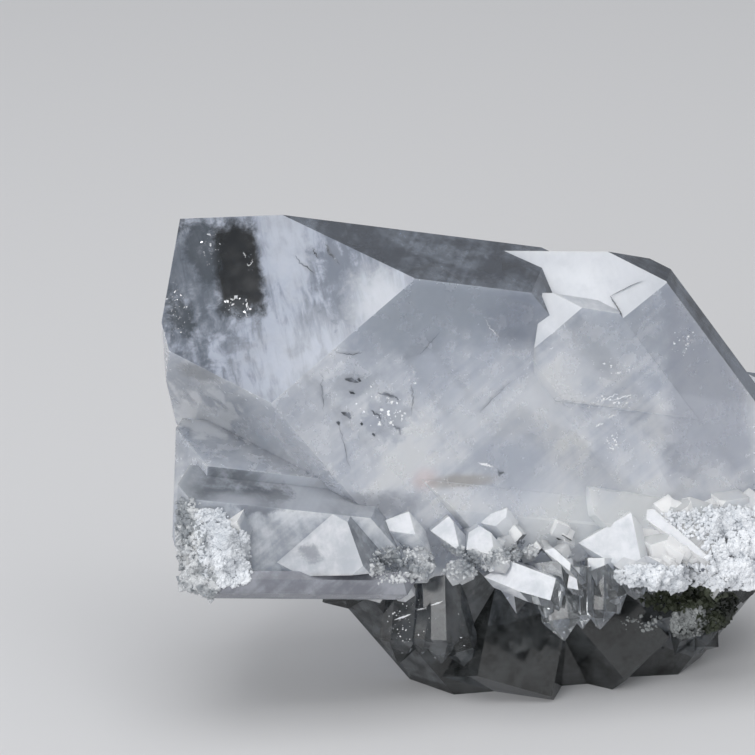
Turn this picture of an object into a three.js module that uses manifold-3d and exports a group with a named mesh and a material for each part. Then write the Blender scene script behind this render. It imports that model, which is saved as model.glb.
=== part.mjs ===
// Faden quartz cluster: a plate of parallel quartz crystals with a ledge of smaller ones along its foot.
// Millimetres and degrees. Everything is laid out in the frame of the plate:
// x runs along the plate, y up its front, z out of its front. The plate leans back a little.
import * as THREE from 'three';
import { ConvexGeometry } from 'three/addons/geometries/ConvexGeometry.js';
import { mergeVertices } from 'three/addons/utils/BufferGeometryUtils.js';
import Module from 'manifold-3d';

const wasm = await Module();
wasm.setup();

// Driving dimensions
const plateLean = 12;
const longAxis = 127.7; // the parallel crystals' long axis, measured in the plate from x
const pointSlope = 51.79; // angle of a quartz point's faces, normal to long axis
const breakHeight = -37.4; // flat break it rests on, level, below the middle of the plate

const radians = THREE.MathUtils.degToRad;

// The twelve face directions of a quartz crystal and its long axis.
// sides[0] faces the front of the plate; the others follow each 60 degrees, towards the right first.
// nod lifts the point to the front, roll turns about the long axis, spin turns about the first point face.
function quartzDirections({ axis = longAxis, nod = 0, roll = 0, spin = 0 }) {
  const along = new THREE.Vector3(Math.cos(radians(axis)), Math.sin(radians(axis)), 0);
  const front = new THREE.Vector3(0, 0, 1);
  const across = new THREE.Vector3().crossVectors(along, front);
  along.applyAxisAngle(across, radians(nod));
  front.applyAxisAngle(across, radians(nod));
  front.applyAxisAngle(along, radians(roll));
  across.applyAxisAngle(along, radians(roll));
  const sides = [];
  const points = [];
  for (let k = 0; k < 6; k += 1) {
    const side = front.clone().multiplyScalar(Math.cos(radians(60 * k)));
    side.addScaledVector(across, Math.sin(radians(60 * k)));
    const point = along.clone().multiplyScalar(Math.cos(radians(pointSlope)));
    point.addScaledVector(side, Math.sin(radians(pointSlope)));
    sides.push(side);
    points.push(point);
  }
  const turned = new THREE.Quaternion().setFromAxisAngle(points[0].clone(), radians(spin));
  for (const direction of [...sides, ...points, along]) {
    direction.applyQuaternion(turned);
  }
  return { along, sides, points };
}

// Corners of the body bounded by planes: every meeting of three planes that lies inside the others.
function cornersOf(planes) {
  const corners = [];
  for (let i = 0; i < planes.length; i += 1) {
    for (let j = i + 1; j < planes.length; j += 1) {
      const ij = new THREE.Vector3().crossVectors(planes[i].normal, planes[j].normal);
      for (let k = j + 1; k < planes.length; k += 1) {
        const volume = ij.dot(planes[k].normal);
        if (Math.abs(volume) < 1e-6) continue;
        const jk = new THREE.Vector3().crossVectors(planes[j].normal, planes[k].normal);
        const ki = new THREE.Vector3().crossVectors(planes[k].normal, planes[i].normal);
        const corner = jk.multiplyScalar(planes[i].distance);
        corner.addScaledVector(ki, planes[j].distance);
        corner.addScaledVector(ij, planes[k].distance);
        corner.divideScalar(volume);
        const inside = planes.every((plane) => plane.normal.dot(corner) < plane.distance + 1e-6);
        const known = corners.some((other) => other.distanceTo(corner) < 1e-3);
        if (inside && !known) corners.push(corner);
      }
    }
  }
  return corners;
}

function solidFrom(geometry) {
  const bare = new THREE.BufferGeometry();
  bare.setAttribute('position', geometry.getAttribute('position').clone());
  const merged = mergeVertices(bare, 1e-4);
  const mesh = new wasm.Mesh({
    numProp: 3,
    vertProperties: new Float32Array(merged.getAttribute('position').array),
    triVerts: new Uint32Array(merged.index.array),
  });
  return new wasm.Manifold(mesh);
}

// One crystal: distances of its faces from the place `at`.
// sides and points go round from the front face towards the right; root is the lower end.
// breaks are broken faces: the way each faces and a place on it, in the plate.
function crystal({ at, sides, points, root, breaks = [], ...turns }) {
  const directions = quartzDirections(turns);
  const centre = new THREE.Vector3(...at);
  const planes = [];
  const add = (direction, distance) => {
    planes.push({ normal: direction, distance: direction.dot(centre) + distance });
  };
  directions.sides.forEach((direction, k) => add(direction, sides[k]));
  directions.points.forEach((direction, k) => add(direction, points[k]));
  add(directions.along.clone().negate(), root);
  for (const { facing, through } of breaks) {
    const normal = new THREE.Vector3(...facing).normalize();
    planes.push({ normal, distance: normal.dot(new THREE.Vector3(...through)) });
  }
  return solidFrom(new ConvexGeometry(cornersOf(planes)));
}

// A small crystal of the ledge, given by its bright front point face, on which `at` lies.
// front, right and left are the prism faces that bound it; top is the next point face.
function bud({ at, front, right, left, top = 9, back = 4, length = 7, ...rest }) {
  return crystal({
    at,
    sides: [front, right, right + 2.5, back, left + 2.5, left],
    points: [0, top, top + 2, back + 1, left + 3, left + 3],
    root: length,
    ...rest,
  });
}

// A small crystal of the ledge, given by the corners [x, y] of its bright front point face.
// `on` is a place on that face; the body runs back from it and down along the long axis.
function brightPoint({ on, corners, length = 3, depth = 4 }) {
  const { along, points } = quartzDirections({});
  const face = points[0];
  const front = corners.map(([x, y]) => {
    const fall = (x - on[0]) * face.x + (y - on[1]) * face.y;
    return new THREE.Vector3(x, y, on[2] - fall / face.z);
  });
  const run = front.map((corner) => corner.clone().addScaledVector(along, -length));
  const back = [...front, ...run].map((corner) => corner.clone().add(new THREE.Vector3(0, 0, -depth)));
  return solidFrom(new ConvexGeometry([...front, ...run, ...back]));
}

// A slender crystal standing anywhere: its point at `tip`, width across flats, length of it all.
function spike({ tip, width, length, flat = 1, ...turns }) {
  const half = width / 2;
  const pointHeight = half * Math.tan(radians(pointSlope));
  const { along } = quartzDirections(turns);
  const shoulder = new THREE.Vector3(...tip).addScaledVector(along, -pointHeight);
  const reach = half * Math.sin(radians(pointSlope));
  return crystal({
    at: shoulder.toArray(),
    sides: [half * flat, half, half, half * flat, half, half],
    points: [reach * 0.94, reach * 1.04, reach * 0.98, reach * 1.05, reach, reach * 1.03],
    root: length - pointHeight,
    ...turns,
  });
}

// Repeatable chance for the druse: a number between low and high
function chanceFrom(seed) {
  let state = seed;
  return (low, high) => {
    state = (state * 1664525 + 1013904223) % 4294967296;
    return low + (high - low) * (state / 4294967296);
  };
}

// Druse: small crystals at chance places between two corners of a box, pointing any way to the front
function druse({ seed, count, from, to, width, axis = [20, 160], nod = [5, 75], stretch = 1.3 }) {
  const chance = chanceFrom(seed);
  const crystals = [];
  for (let n = 0; n < count; n += 1) {
    const across = chance(width[0], width[1]);
    crystals.push(spike({
      tip: from.map((low, k) => chance(low, to[k])),
      width: across,
      length: across * stretch,
      axis: chance(axis[0], axis[1]),
      nod: chance(nod[0], nod[1]),
      roll: chance(0, 60),
      flat: chance(0.75, 1.25),
    }));
  }
  return crystals;
}

// Sugar: blocky grains that show only their three point faces and the three below them
function sugar({ seed, count, from, to, width }) {
  const chance = chanceFrom(seed);
  const grains = [];
  for (let n = 0; n < count; n += 1) {
    const turns = { axis: chance(20, 200), nod: chance(0, 80), roll: chance(0, 120) };
    const { along, points } = quartzDirections(turns);
    const centre = new THREE.Vector3(...from.map((low, k) => chance(low, to[k])));
    const half = chance(width[0], width[1]) / 2;
    const faces = [points[0], points[2], points[4]];
    const planes = [];
    for (const face of faces) {
      planes.push({ normal: face, distance: face.dot(centre) + half });
      planes.push({ normal: face.clone().negate(), distance: -face.dot(centre) + half });
    }
    planes.push({ normal: along, distance: along.dot(centre) + half * chance(1.1, 1.6) });
    grains.push(solidFrom(new ConvexGeometry(cornersOf(planes))));
  }
  return grains;
}

// Lower ends of the plate crystals, hidden behind the ledge, and the break at the far right
const underPlate = { facing: [0.08, -1, 0.05], through: [0, -23.2, 0] };
const farRight = { facing: [1, -0.12, 0.22], through: [49.5, -10, 0] };

// Large crystals of the plate
const plateCrystals = [
  // left: broad front face, bright point face at the left, dark one along the top
  crystal({
    at: [-3, -2, -9],
    sides: [9, 24.1, 25, 9, 18.3, 10.64],
    points: [10.39, 16.24, 17.44, 21.5, 19, 19.8],
    root: 30,
    breaks: [underPlate, { facing: [-1, -0.09, 0.1], through: [-22.2, 5, -8.5] }],
  }),
  // right: bright facet along the top, narrow dark one at its corner
  crystal({
    at: [28, 0, -5],
    axis: 125.5,
    nod: 1,
    sides: [5.72, 10.7, 8.0, 9, 22, 10.35],
    points: [7.2, 11.2, 10.35, 14, 24, 24],
    root: 32,
    breaks: [underPlate, farRight, { facing: [-0.085, -0.061, 0.995], through: [16.9, 0, 0] }],
  }),
  // small one standing in front of the gap between the two
  crystal({
    at: [22, -2, -4],
    axis: 125.5,
    nod: 1,
    roll: 2,
    sides: [5.12, 10, 8, 6, 6, 4.5],
    points: [7.93, 9.8, 7.6, 9, 2.8, 9],
    root: 14,
    breaks: [
      { facing: [-0.2, -1, 0.4], through: [19.3, -3.3, 1.3] },
      { facing: [0.043, 0.03, 1], through: [32.8, -2, 0.8] },
    ],
  }),
  // far right, behind the large right one
  crystal({
    at: [42, -12, -7],
    axis: 126,
    sides: [5.2, 10.5, 10, 7, 12, 12],
    points: [5.9, 9.5, 7.9, 12, 14, 14],
    root: 16,
    breaks: [underPlate, farRight],
  }),
];

// Shelf of the ledge: crystals parallel to the plate, standing out in front of its foot
const shelfCrystals = [
  // lower left, with the dark sloping top
  crystal({
    at: [-14, -17, -3],
    sides: [5.28, 12, 14, 8, 9.5, 7.6],
    points: [14, 5.67, 6.6, 12, 7.2, 9.4],
    root: 16,
    breaks: [{ facing: [-0.05, -1, 0], through: [-14, -22, 0] }],
  }),
  // behind it, closing the corner under the plate
  crystal({
    at: [-14, -14, -8],
    sides: [5.6, 12, 14, 6, 9.5, 7.4],
    points: [14, 5.9, 8.5, 12, 8.0, 7.1],
    root: 14,
    breaks: [
      { facing: [-0.05, -1, 0], through: [-14, -21, 0] },
      { facing: [-1, 0.25, 0.1], through: [-22.3, -9, -6] },
    ],
  }),
  // middle
  crystal({
    at: [14, -18, -2],
    sides: [3.1, 15, 12, 8, 9, 4.15],
    points: [11, 5.0, 8, 12, 14, 14],
    root: 14,
    breaks: [
      { facing: [0.05, -1, -0.1], through: [0, -23.4, 4] },
      { facing: [0.064, 0.36, 1], through: [4.9, -11.6, 0] },
    ],
  }),
  // right, under the white druse
  crystal({
    at: [37, -20, -2],
    axis: 126,
    sides: [4.2, 9, 10, 8, 12, 9.5],
    points: [11, 3.9, 8, 12, 14, 14],
    root: 14,
    breaks: [
      { facing: [0.05, -1, 0.15], through: [37, -25, 3] },
      { facing: [0.104, 0.5, 1], through: [24, -14.06, 0.5] },
      farRight,
    ],
  }),
  // long one lying along the foot at the left
  crystal({
    at: [-9.2, -21.8, 4.0],
    axis: 175.7,
    nod: -2,
    roll: 4,
    sides: [1.3, 1.32, 1.32, 3, 1.32, 1.32],
    points: [9.2, 9.9, 9.6, 9.8, 9.2, 9.0],
    root: 14,
    breaks: [
      { facing: [-1, 0.3, 0.3], through: [-20.3, -21, 4.8] },
      { facing: [-0.8, -0.65, 0.1], through: [-19.7, -22.7, 4.8] },
      { facing: [0.8, 0.2, 0.6], through: [2.2, -22.6, 4.4] },
      { facing: [0.7, -0.75, 0.1], through: [1.8, -23.2, 4.4] },
    ],
  }),
];

// The ledge's small bright points, from left to right
const buds = [
  bud({
    at: [-6.0, -14.4, 2.22],
    front: 4.4,
    right: 1.2,
    left: 7.0,
    top: -0.03,
    back: 2.5,
    breaks: [{ facing: [0.03, -1, 0.02], through: [-7, -20.6, 5] }],
  }),
  brightPoint({
    on: [2.7, -15.1, 1.0],
    corners: [[-1.9, -16.7], [1.1, -16], [2.8, -15], [3.1, -17.3]],
  }),
  brightPoint({
    on: [7.1, -15.8, 1.2],
    corners: [[5.1, -17.3], [7.2, -15.8], [7.6, -16.3], [7.8, -18.8], [7.4, -19]],
  }),
  brightPoint({
    on: [9.4, -16.9, 2.5],
    corners: [[10.3, -16.8], [11.4, -17.5], [11.4, -18.8], [10.8, -19.6], [8.6, -19.2], [9.1, -17.5]],
  }),
  brightPoint({
    on: [11.9, -15.8, 1.0],
    corners: [[10.3, -16.5], [13.1, -15.6], [13.8, -15.3], [13.5, -16.2], [12.3, -17.1], [11, -16.9]],
    length: 2,
  }),
  brightPoint({
    on: [13.5, -20.8, 4.0],
    corners: [[10.5, -22.4], [13.5, -20.8], [14.6, -21.3], [17.8, -22.4], [16.9, -24.6], [13.9, -23.8]],
    length: 1.6,
  }),
  brightPoint({
    on: [18.2, -19.7, 4.2],
    corners: [[17.3, -19.9], [18.3, -19.6], [19.8, -21.1], [19.6, -21.9]],
  }),
  brightPoint({
    on: [19.3, -23.0, 6.0],
    corners: [[19.6, -22.4], [20.3, -22.8], [20.3, -23.9], [19.2, -23.7]],
    length: 1,
    depth: 3,
  }),
  brightPoint({
    on: [27.0, -16.3, 1.9],
    corners: [[21.8, -19.8], [27.7, -16.6], [27.9, -22.2], [25.1, -21.9]],
    length: 2,
    depth: 6,
  }),
  brightPoint({
    on: [30.2, -16.4, 1.2],
    corners: [[29.3, -16.7], [30.6, -16.6], [35.1, -21.1], [34.8, -21.6], [29.6, -17.6]],
    length: 2,
  }),
];

// Small ones lying along the back of the plate
const backCrystals = [
  crystal({
    at: [-6, -6, -15],
    sides: [4, 4.2, 4.6, 4.7, 4.4, 4.2],
    points: [7, 7.4, 7.2, 6.8, 7.1, 7.3],
    root: 9,
  }),
  crystal({
    at: [9, -2, -15.5],
    axis: 125,
    sides: [3, 3, 3, 3.7, 3, 3],
    points: [5.2, 5, 5.3, 4.9, 5.1, 5.2],
    root: 12,
  }),
  crystal({
    at: [29, -8, -12],
    axis: 129,
    roll: 8,
    sides: [3, 4.2, 4, 4.3, 3.8, 4],
    points: [7.2, 7, 7.1, 6.9, 7.3, 7],
    root: 10,
  }),
  spike({ tip: [16.5, 3.5, -18.2], width: 3.4, length: 9, axis: 118, nod: -14, roll: 20 }),
  spike({ tip: [-13.5, -4.5, -19.2], width: 2.6, length: 8, axis: 140, nod: -10, roll: 5 }),
];

// Clear crystals hanging below the middle of the ledge
const hangingCrystals = [
  spike({ tip: [19.1, -30.1, 4.8], width: 3.8, length: 9, axis: 274, nod: 12, roll: 20 }),
  spike({ tip: [23.3, -29.3, 4.2], width: 3.4, length: 8, axis: 264, nod: 12, roll: 35 }),
  spike({ tip: [16.8, -27.4, 5.2], width: 1.8, length: 5, axis: 250, nod: 10, roll: 10 }),
  spike({ tip: [21.3, -29.0, 4.4], width: 2.4, length: 7, axis: 268, nod: 8, roll: 50 }),
  spike({ tip: [25.6, -27.8, 4.0], width: 3.0, length: 6, axis: 290, nod: 8, roll: 15 }),
];

// Dark underside, set back below the ledge, down to the flat break
const underside = [
  // left, its lower-left edge parallel to the plate crystals
  crystal({
    at: [10, -28, -9],
    sides: [5.2, 14, 14, 9.5, 8.4, 8.9],
    points: [20, 24, 24, 20, 20, 20],
    root: 16,
  }),
  // right
  crystal({
    at: [36, -27, -9],
    axis: 230,
    nod: -6,
    sides: [5.6, 9, 9, 9.5, 6.2, 7.6],
    points: [16, 18, 18, 16, 14, 14],
    root: 12,
    breaks: [{ facing: [0.45, 0.1, 0.86], through: [43.5, -29, -5.5] }],
  }),
  // middle, two with slanting lower faces
  crystal({
    at: [17, -30, -7],
    axis: 70,
    nod: -24,
    sides: [4.2, 5.5, 8, 8, 8, 6.5],
    points: [6, 7, 9, 9, 9, 7],
    root: 9,
  }),
  crystal({
    at: [25, -31, -7],
    axis: 128,
    nod: -12,
    roll: 18,
    sides: [4.6, 6, 8, 8, 7, 5],
    points: [6, 7, 9, 9, 9, 7],
    root: 7,
  }),
  // back
  crystal({
    at: [20, -24, -14],
    axis: 96,
    roll: 25,
    sides: [8, 12, 13, 6.5, 13, 12],
    points: [14, 14, 14, 14, 14, 14],
    root: 20,
  }),
  // clear ones hanging at its left
  spike({ tip: [1.8, -33.2, -3.2], width: 4.2, length: 11, axis: 262, nod: 6, roll: 10 }),
  spike({ tip: [6.4, -33.4, -2.2], width: 4.4, length: 12, axis: 268, nod: 8, roll: 25 }),
  spike({ tip: [4.0, -32.0, -1.6], width: 2.6, length: 9, axis: 255, nod: 12, roll: 40 }),
  spike({ tip: [-6.6, -25.6, -4.0], width: 3.6, length: 9, axis: 204, nod: 4, roll: 12 }),
  spike({ tip: [9.6, -34.2, -2.0], width: 3.4, length: 10, axis: 282, nod: 14, roll: 5 }),
];

// Sugary and sparkling small crystals
const druseCrystals = [
  // lower left corner, white then clear
  ...sugar({ seed: 11, count: 26, from: [-21.0, -20.4, 2.0], to: [-16.4, -14.0, 4.0], width: [1.4, 2.6] }),
  ...druse({
    seed: 12,
    count: 9,
    from: [-23.6, -21.2, -1.2],
    to: [-20.8, -17.8, 2.6],
    width: [1.0, 2.0],
    axis: [120, 230],
  }),
  // middle of the ledge, between its bright points
  ...druse({
    seed: 21,
    count: 14,
    from: [-2.6, -21.8, 3.0],
    to: [9, -18, 4.8],
    width: [1.2, 2.4],
    axis: [40, 150],
  }),
  ...sugar({ seed: 22, count: 18, from: [11, -21, 1.4], to: [21, -18, 3.4], width: [0.8, 1.6] }),
  // right end
  ...sugar({ seed: 31, count: 26, from: [32, -20, 1.0], to: [45, -17, 2.6], width: [2.0, 3.8] }),
  ...sugar({ seed: 33, count: 30, from: [29.5, -24.6, 2.6], to: [45, -20.5, 4.4], width: [2.0, 3.8] }),
  ...druse({ seed: 32, count: 10, from: [30, -24.5, 3.6], to: [44, -18.5, 6.0], width: [1.2, 2.4] }),
  ...sugar({ seed: 41, count: 10, from: [27, -24.6, 3.6], to: [31.5, -22.6, 5.4], width: [1.6, 2.8] }),
  // under the right end
  ...sugar({ seed: 51, count: 16, from: [31, -34.5, -6.4], to: [40, -29.5, -4.4], width: [2.2, 4.2] }),
];

// The level flat break the cluster rests on
const levelDown = new THREE.Vector3(0, -Math.cos(radians(plateLean)), -Math.sin(radians(plateLean)));
const pieces = [
  ...plateCrystals,
  ...shelfCrystals,
  ...buds,
  ...backCrystals,
  ...hangingCrystals,
  ...underside,
  ...druseCrystals,
];
const grown = pieces
  .reduce((whole, next) => whole.add(next))
  .trimByPlane(levelDown.clone().negate().toArray(), breakHeight);
// Gaps shut in between crystals are quartz too: only the outer skin counts
const skins = grown.decompose().sort((one, other) => other.volume() - one.volume());
const cluster = skins[0];

// Lean the plate back, then set the foot of the middle on the origin
function quartzGeometry(solid) {
  const mesh = solid.getMesh();
  const geometry = new THREE.BufferGeometry();
  geometry.setAttribute('position', new THREE.BufferAttribute(new Float32Array(mesh.vertProperties), 3));
  geometry.setIndex(new THREE.BufferAttribute(new Uint32Array(mesh.triVerts), 1));
  return geometry;
}

const lean = new THREE.Matrix4().makeBasis(
  new THREE.Vector3(1, 0, 0),
  new THREE.Vector3(0, Math.sin(radians(plateLean)), Math.cos(radians(plateLean))),
  new THREE.Vector3(0, -Math.cos(radians(plateLean)), Math.sin(radians(plateLean))),
);
const geometry = quartzGeometry(cluster).applyMatrix4(lean);
geometry.computeBoundingBox();
const middle = geometry.boundingBox.getCenter(new THREE.Vector3());
const lowest = geometry.boundingBox.min.z;
geometry.translate(-middle.x, -middle.y, -lowest);
geometry.computeVertexNormals();

const quartz = new THREE.MeshStandardMaterial({ color: 0xd9dfe6, roughness: 0.12, metalness: 0 });
const node = new THREE.Mesh(geometry, quartz);
node.name = 'quartz_cluster';

const group = new THREE.Group();
group.name = 'faden_quartz_cluster';
group.add(node);
export default group;
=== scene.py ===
import bpy
import bmesh
import math
import numpy as np
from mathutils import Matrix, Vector
from mathutils.bvhtree import BVHTree


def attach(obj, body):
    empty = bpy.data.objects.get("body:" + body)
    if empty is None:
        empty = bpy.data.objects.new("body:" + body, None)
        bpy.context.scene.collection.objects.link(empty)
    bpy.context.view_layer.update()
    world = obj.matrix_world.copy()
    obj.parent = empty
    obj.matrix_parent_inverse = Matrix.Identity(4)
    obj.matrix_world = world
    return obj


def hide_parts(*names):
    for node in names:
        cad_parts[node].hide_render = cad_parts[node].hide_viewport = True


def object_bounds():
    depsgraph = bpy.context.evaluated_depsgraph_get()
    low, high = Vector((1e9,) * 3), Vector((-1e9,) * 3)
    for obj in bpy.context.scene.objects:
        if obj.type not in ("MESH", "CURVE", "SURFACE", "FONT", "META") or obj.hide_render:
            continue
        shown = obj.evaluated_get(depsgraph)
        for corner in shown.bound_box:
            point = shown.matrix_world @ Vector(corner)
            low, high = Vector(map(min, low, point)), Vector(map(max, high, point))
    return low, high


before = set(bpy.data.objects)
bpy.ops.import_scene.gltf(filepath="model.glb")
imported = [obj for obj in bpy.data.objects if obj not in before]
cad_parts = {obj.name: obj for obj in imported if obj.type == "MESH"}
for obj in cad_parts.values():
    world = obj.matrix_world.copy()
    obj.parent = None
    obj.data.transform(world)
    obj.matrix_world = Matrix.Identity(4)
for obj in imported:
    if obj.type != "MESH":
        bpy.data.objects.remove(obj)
cadBox = [list(corner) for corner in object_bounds()]
scene = bpy.context.scene
scene.view_settings.view_transform = "Standard"
mm = 0.001

# The plate leans back; places below are laid out in it, in millimetres: x along, y up its front, z out of it
plate = {
    "origin": (-14.5473, -3.8618, 37.4),  # middle of the plate, in the frame
    "lean": 12,
    "longAxis": 127.7,  # the crystals' long axis, from x
    "pointSlope": 51.79,
}
leanSin, leanCos = math.sin(math.radians(plate["lean"])), math.cos(math.radians(plate["lean"]))
plateAxes = np.array([[1, 0, 0], [0, leanSin, leanCos], [0, -leanCos, leanSin]])  # rows: plate x, y, z


def plateToFrame(places):
    # millimetres in the plate to metres in the frame
    return (np.asarray(places, float) @ plateAxes + np.array(plate["origin"])) * mm


def frameToPlate(places):
    return (np.asarray(places, float) / mm - np.array(plate["origin"])) @ plateAxes.T


# The long axis and the twelve faces of the plate crystals: six sides, six point faces, turned 60 degrees each
axisTurn, slope = math.radians(plate["longAxis"]), math.radians(plate["pointSlope"])
longAxis = np.array([math.cos(axisTurn), math.sin(axisTurn), 0])
acrossAxis = np.array([math.sin(axisTurn), -math.cos(axisTurn), 0])
turns = np.radians(np.arange(6) * 60)[:, None]
sideFaces = np.cos(turns) * np.array([0, 0, 1]) + np.sin(turns) * acrossAxis
pointFaces = math.cos(slope) * longAxis + math.sin(slope) * sideFaces

# Camera and light

view = {"azimuth": -10.2, "elevation": 20, "distance": 311.25, "lens": 135, "sensor": 36, "near": 0.01, "far": 20}
look = {
    "floor": (0.68, 0.68, 0.69),
    "floorRoughness": 0.9,
    "floorReach": 4,  # metres from the middle to its edges
    "world": 0.46,
    "worldColour": (0.95, 0.97, 1.0),
    "glare": {"azimuth": -53.0, "elevation": 55.5, "distance": 900, "size": (150, 160), "radiance": 5.5},
    "key": {"azimuth": -44, "elevation": 22, "distance": 900, "size": (760, 460), "radiance": 3.4},
    "top": {"azimuth": 0, "elevation": 84, "distance": 1000, "size": (900, 700), "radiance": 1.7},
    "fill": {"azimuth": 55, "elevation": 48, "distance": 1000, "size": (700, 600), "radiance": 0.5},
}


def wayTo(azimuth, elevation):
    a, e = math.radians(azimuth), math.radians(elevation)
    return Vector((math.sin(a) * math.cos(e), -math.cos(a) * math.cos(e), math.sin(e)))


target = Vector([value * mm for value in plate["origin"]])
camera = bpy.data.objects.new("camera", bpy.data.cameras.new("camera"))
camera.data.lens = view["lens"]
camera.data.sensor_width = view["sensor"]
camera.data.clip_start, camera.data.clip_end = view["near"], view["far"]
back = wayTo(view["azimuth"], view["elevation"])
camera.location = target + back * view["distance"] * mm
camera.rotation_euler = back.to_track_quat("Z", "Y").to_euler()
scene.collection.objects.link(camera)
scene.camera = camera


def softbox(name, azimuth, elevation, distance, size, radiance):
    light = bpy.data.objects.new(name, bpy.data.lights.new(name, "AREA"))
    light.data.shape = "RECTANGLE"
    light.data.size, light.data.size_y = size[0] * mm, size[1] * mm
    light.data.energy = radiance * math.pi * light.data.size * light.data.size_y  # watts for that radiance
    way = wayTo(azimuth, elevation)
    light.location = target + way * distance * mm
    light.rotation_euler = way.to_track_quat("Z", "Y").to_euler()
    scene.collection.objects.link(light)


for name in ("glare", "key", "top", "fill"):
    softbox(name, **look[name])
world = bpy.data.worlds.new("studio")
world.use_nodes = True
world.node_tree.nodes["Background"].inputs[0].default_value = (*look["worldColour"], 1)
world.node_tree.nodes["Background"].inputs[1].default_value = look["world"]
scene.world = world
print("camera and light")

# Shader helpers


def addNode(tree, kind, **values):
    node = tree.nodes.new(kind)
    for name, value in values.items():
        setattr(node, name, value)
    return node


def feed(tree, node, name, source):
    # a plain number or colour is set on the socket, anything else is linked to it
    socket = node.inputs[name]
    if isinstance(source, bpy.types.NodeSocket):
        tree.links.new(source, socket)
    elif isinstance(source, (tuple, list)) and len(source) == 3 and socket.type == "RGBA":
        socket.default_value = (*source, 1)
    else:
        socket.default_value = source


def calc(tree, operation, first, second=0.0, third=0.0, clamp=False):
    node = addNode(tree, "ShaderNodeMath", operation=operation, use_clamp=clamp)
    for index, source in enumerate((first, second, third)):
        feed(tree, node, index, source)
    return node.outputs[0]


def mixColour(tree, factor, first, second):
    node = addNode(tree, "ShaderNodeMix", data_type="RGBA", blend_type="MIX", clamp_factor=True)
    feed(tree, node, 0, factor)
    feed(tree, node, 6, first)
    feed(tree, node, 7, second)
    return node.outputs[2]


def noise(tree, vector, scale, detail=4, roughness=0.55, distortion=0.0):
    node = addNode(tree, "ShaderNodeTexNoise")
    feed(tree, node, "Vector", vector)
    for name, value in (("Scale", scale), ("Detail", detail), ("Roughness", roughness), ("Distortion", distortion)):
        feed(tree, node, name, value)
    return node.outputs["Fac"]


def mapped(tree, vector, rotation=(0, 0, 0), scale=(1, 1, 1), location=(0, 0, 0)):
    node = addNode(tree, "ShaderNodeMapping", vector_type="POINT")
    feed(tree, node, "Vector", vector)
    node.inputs["Rotation"].default_value = rotation
    node.inputs["Scale"].default_value = scale
    node.inputs["Location"].default_value = location
    return node.outputs[0]


def spread(tree, value, low, high, toLow=0.0, toHigh=1.0):
    node = addNode(tree, "ShaderNodeMapRange", interpolation_type="SMOOTHSTEP")
    for index, source in enumerate((value, low, high, toLow, toHigh)):
        feed(tree, node, index, source)
    return node.outputs[0]


def newGroup(name, inputs, outputs):
    tree = bpy.data.node_groups.new(name, "ShaderNodeTree")
    for socketName, kind, default in inputs:
        socket = tree.interface.new_socket(name=socketName, in_out="INPUT", socket_type=kind)
        if default is not None:
            socket.default_value = default
    for socketName, kind in outputs:
        tree.interface.new_socket(name=socketName, in_out="OUTPUT", socket_type=kind)
    return tree, addNode(tree, "NodeGroupInput"), addNode(tree, "NodeGroupOutput")


def placeGroup(tree, group, **values):
    node = addNode(tree, "ShaderNodeGroup", node_tree=group)
    for name, value in values.items():
        feed(tree, node, name, value)
    return node


# What is seen inside quartz: clouds of haze, mottling, feathery streaks, fine growth lines across the long axis.
# Plate is the place in the plate, in metres, so the scales are per metre.
pattern = {
    "clouds": {"scale": 75, "detail": 5, "roughness": 0.55, "distortion": 0.6},
    "mottle": {"scale": 420, "detail": 6, "roughness": 0.65, "distortion": 0.3},
    "streaks": {"scale": 1.0, "detail": 4, "roughness": 0.6, "distortion": 0.4},
    "growth": {"scale": 1.0, "detail": 2, "roughness": 0.5},
    "streakLean": -7,  # degrees from upright
    "streakStretch": (1300, 110, 500),
    "growthStretch": (1500, 40, 60),
}
inside, given, made = newGroup(
    "quartz_inside",
    [("Plate", "NodeSocketVector", None), ("Clouds", "NodeSocketFloat", 0.5), ("Mottle", "NodeSocketFloat", 0.3),
     ("Streaks", "NodeSocketFloat", 0.3), ("Lines", "NodeSocketFloat", 0.2)],
    [("Haze", "NodeSocketFloat"), ("Height", "NodeSocketFloat"), ("Ragged", "NodeSocketFloat")],
)
place = given.outputs["Plate"]
clouds = noise(inside, place, **pattern["clouds"])
mottle = noise(inside, place, **pattern["mottle"])
tilted = mapped(inside, place, rotation=(0, 0, math.radians(pattern["streakLean"])))
streaks = noise(inside, mapped(inside, tilted, scale=pattern["streakStretch"]), **pattern["streaks"])
alongAxis = mapped(inside, place, rotation=(0, 0, -axisTurn))
growth = noise(inside, mapped(inside, alongAxis, scale=pattern["growthStretch"]), **pattern["growth"])
haze = calc(inside, "MULTIPLY", calc(inside, "SUBTRACT", clouds, 0.5), given.outputs["Clouds"])
for part, amount in ((mottle, "Mottle"), (streaks, "Streaks"), (growth, "Lines")):
    haze = calc(inside, "MULTIPLY_ADD", calc(inside, "SUBTRACT", part, 0.5), given.outputs[amount], haze)
haze = calc(inside, "ADD", haze, 0.5, clamp=True)
inside.links.new(haze, made.inputs["Haze"])
inside.links.new(calc(inside, "MULTIPLY_ADD", mottle, 0.3, growth), made.inputs["Height"])
inside.links.new(mottle, made.inputs["Ragged"])

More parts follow.
